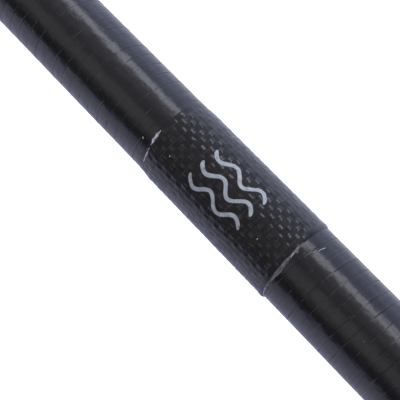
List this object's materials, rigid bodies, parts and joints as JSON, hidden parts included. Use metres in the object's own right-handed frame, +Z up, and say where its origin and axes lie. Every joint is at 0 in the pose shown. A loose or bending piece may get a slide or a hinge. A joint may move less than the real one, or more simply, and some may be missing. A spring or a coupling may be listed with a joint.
{
  "type": "rowing oar",
  "caption": "Sculling oar with a curved hatchet blade, a two-piece carbon shaft with a woven joint band, a sleeve with a sliding clamped collar and a telescoping rubber-gripped handle.",
  "frame": {"origin": "on the floor under the middle of the oar's box, with the oar lying on its collar and the end of its blade, hollow face down", "axes": "+X along the shaft towards the blade's tip, +Z up, out of the blade's rounded back, and +Y towards the blade edge that runs along the water"},
  "size_m": [2.88, 0.2152, 0.088],
  "materials": {
    "shaft_carbon": "glossy clear-coated carbon laminate with fine tape ridges",
    "woven_carbon": "plain-weave carbon cloth under clear resin",
    "blade_skin": "woven carbon under a glossy clear coat",
    "foam": "closed-cell structural foam",
    "tip_edge": "satin pale resin",
    "sleeve": "satin moulded nylon",
    "wear_plate": "satin hard plastic",
    "collar": "satin moulded nylon",
    "clamp_alloy": "grey anodised",
    "steel": "stainless",
    "grip_rubber": "matte ribbed rubber",
    "end_cap": "satin moulded plastic"
  },
  "bodies": {
    "oar": {"blade_back_skin": "blade_skin", "blade_face_skin": "blade_skin", "blade_core": "foam", "blade_tip_edge": "tip_edge", "neck_spigot": "shaft_carbon", "neck_band": "woven_carbon", "outboard_tube": "shaft_carbon", "outboard_foam_plug": "foam", "joint_spigot": "shaft_carbon", "woven_joint_band": "woven_carbon", "inboard_tube": "shaft_carbon", "inboard_foam_plug": "foam", "oar_sleeve": "sleeve", "drive_wear_plate": "wear_plate", "feather_wear_plate": "wear_plate", "handle_clamp_ring": "clamp_alloy", "handle_clamp_washer": "steel", "handle_clamp_nut": "steel"},
    "collar": {"collar_ring": "collar", "collar_washer": "steel", "collar_nut": "steel"},
    "collar_bolt": {"collar_bolt": "steel"},
    "handle_clamp_bolt": {"handle_clamp_bolt": "steel"},
    "handle_carrier": {"handle_foam_plug": "foam"},
    "handle": {"handle_tube": "shaft_carbon", "rubber_grip": "grip_rubber", "handle_end_cap": "end_cap"}
  },
  "joints": [
    {"name": "collar_slide", "type": "slide", "parent": "oar", "child": "collar", "axis": [1, 0, 0], "range_m": [-0.03, 0.03]},
    {"name": "collar_bolt_turn", "type": "hinge", "parent": "collar", "child": "collar_bolt", "pos_m": [-0.5845, 0.0028, 0.044], "axis": [0, 0, 1], "range_deg": [0, 450]},
    {"name": "handle_clamp_bolt_turn", "type": "hinge", "parent": "oar", "child": "handle_clamp_bolt", "pos_m": [-1.294, 0.0105, 0.044], "axis": [0, 0, 1], "range_deg": [0, 450]},
    {"name": "handle_slide", "type": "slide", "parent": "oar", "child": "handle_carrier", "axis": [-1, 0, 0], "range_m": [0, 0.05]},
    {"name": "handle_turn", "type": "hinge", "parent": "handle_carrier", "child": "handle", "pos_m": [-1.3, 0.0375, 0.044], "axis": [1, 0, 0], "continuous": true}
  ]
}
